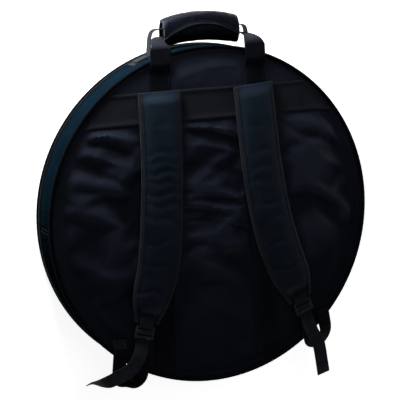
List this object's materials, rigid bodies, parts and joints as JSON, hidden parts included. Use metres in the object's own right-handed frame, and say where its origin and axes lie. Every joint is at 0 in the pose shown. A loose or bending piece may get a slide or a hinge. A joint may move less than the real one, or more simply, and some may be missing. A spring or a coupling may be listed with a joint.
{
  "type": "cymbal bag",
  "caption": "Round padded cymbal bag with a zip-open shell, backpack straps with ladder locks, and a wrapped carry handle.",
  "frame": {"origin": "middle of the front panel's outer face, which lies on the floor", "axes": "+Z through the bag's depth, from the front panel to the back panel with the straps; +Y to the carry handle; +X to the strap on the right in the picture"},
  "size_m": [0.6012, 0.6825, 0.0933],
  "materials": {
    "nylon": "woven, slight sheen",
    "binding": "woven tape, matte",
    "webbing": "ribbed webbing, matte",
    "foam": "closed-cell foam, matte",
    "lining": "smooth woven lining",
    "plastic": "moulded, satin",
    "metal": "dark coated, satin"
  },
  "bodies": {
    "front_half": {"front_panel": "nylon", "front_foam": "foam", "front_lining": "lining", "front_piping": "binding", "front_zip_tape": "webbing", "front_zip_coil": "plastic", "hinge_panel_front": "nylon"},
    "back_shell": {"back_panel": "nylon", "back_foam": "foam", "back_lining": "lining", "back_piping": "binding", "gusset_upper": "nylon", "gusset_lower": "nylon", "gusset_foam": "foam", "gusset_lining": "lining", "back_zip_tape": "webbing", "back_zip_coil": "plastic", "hinge_panel_back": "nylon", "panel_webbing_left": "webbing", "panel_webbing_right": "webbing", "yoke_band": "nylon", "handle_patch_left": "webbing", "handle_patch_right": "webbing", "lower_webbing_left": "webbing", "lower_webbing_right": "webbing"},
    "divider_lower": {"divider_lower": "lining"},
    "divider_upper": {"divider_upper": "lining"},
    "left_slider": {"left_zip_slider": "metal"},
    "left_pull": {"left_zip_pull": "metal"},
    "right_slider": {"right_zip_slider": "metal"},
    "right_pull": {"right_zip_pull": "metal"},
    "handle": {"grip_core": "foam", "grip_wrap": "nylon", "near_leg_left": "webbing", "near_leg_right": "webbing", "far_leg_left": "webbing", "far_leg_right": "webbing"},
    "flap": {"grip_flap": "nylon"},
    "strap_left": {"shoulder_strap_left": "nylon", "strap_binding_inner_left": "binding", "strap_binding_outer_left": "binding", "strap_end_loop_left": "webbing"},
    "strap_right": {"shoulder_strap_right": "nylon", "strap_binding_inner_right": "binding", "strap_binding_outer_right": "binding", "strap_end_loop_right": "webbing"},
    "buckle_left": {"ladder_lock_left": "plastic", "tail_webbing_left": "webbing"},
    "buckle_right": {"ladder_lock_right": "plastic", "tail_webbing_right": "webbing"}
  },
  "joints": [
    {"name": "shell_opening", "type": "hinge", "parent": "front_half", "child": "back_shell", "pos_m": [0, -0.298, 0.01275], "axis": [1, 0, 0], "range_deg": [0, 95]},
    {"name": "divider_lower_turn", "type": "hinge", "parent": "front_half", "child": "divider_lower", "pos_m": [0, -0.2894, 0.01075], "axis": [1, 0, 0], "range_deg": [0, 34]},
    {"name": "divider_upper_turn", "type": "hinge", "parent": "front_half", "child": "divider_upper", "pos_m": [0, -0.2894, 0.01075], "axis": [1, 0, 0], "range_deg": [0, 67]},
    {"name": "left_slider_travel", "type": "hinge", "parent": "front_half", "child": "left_slider", "pos_m": [0, 0, 0.01275], "axis": [0, 0, 1], "range_deg": [0, 198]},
    {"name": "right_slider_travel", "type": "hinge", "parent": "front_half", "child": "right_slider", "pos_m": [0, 0, 0.01275], "axis": [0, 0, -1], "range_deg": [0, 88]},
    {"name": "left_pull_swing", "type": "hinge", "parent": "left_slider", "child": "left_pull", "pos_m": [0.23732, 0.19143, 0.01275], "axis": [0, 0, -1], "range_deg": [0, 95]},
    {"name": "right_pull_swing", "type": "hinge", "parent": "right_slider", "child": "right_pull", "pos_m": [0.26105, 0.15754, 0.01275], "axis": [0, 0, 1], "range_deg": [0, 95]},
    {"name": "handle_lift", "type": "hinge", "parent": "back_shell", "child": "handle", "pos_m": [0, 0.3, 0.06105], "axis": [1, 0, 0], "range_deg": [0, 50], "deforming": ["near_leg_left", "near_leg_right", "far_leg_left", "far_leg_right"]},
    {"name": "flap_opening", "type": "hinge", "parent": "handle", "child": "flap", "pos_m": [0, 0.34522, 0.03431], "axis": [-1, 0, 0], "range_deg": [0, 120]},
    {"name": "strap_lift_left", "type": "hinge", "parent": "back_shell", "child": "strap_left", "pos_m": [0, 0.227, 0.0813], "axis": [-1, 0, 0], "range_deg": [0, 20], "deforming": ["lower_webbing_left"]},
    {"name": "strap_lift_right", "type": "hinge", "parent": "back_shell", "child": "strap_right", "pos_m": [0, 0.227, 0.0813], "axis": [-1, 0, 0], "range_deg": [0, 20], "deforming": ["lower_webbing_right"]},
    {"name": "buckle_turn_left", "type": "hinge", "parent": "strap_left", "child": "buckle_left", "pos_m": [-0.13657, -0.18276, 0.0852], "axis": [-0.9654, 0.2606, 0], "range_deg": [0, 35], "deforming": ["lower_webbing_left"]},
    {"name": "buckle_turn_right", "type": "hinge", "parent": "strap_right", "child": "buckle_right", "pos_m": [0.16506, -0.17661, 0.0852], "axis": [-0.9394, -0.3429, 0], "range_deg": [0, 35], "deforming": ["lower_webbing_right"]}
  ],
  "couplings": [
    {"joint": "divider_lower_turn", "follows": "shell_opening", "ratio": 0.35},
    {"joint": "divider_upper_turn", "follows": "shell_opening", "ratio": 0.7}
  ]
}
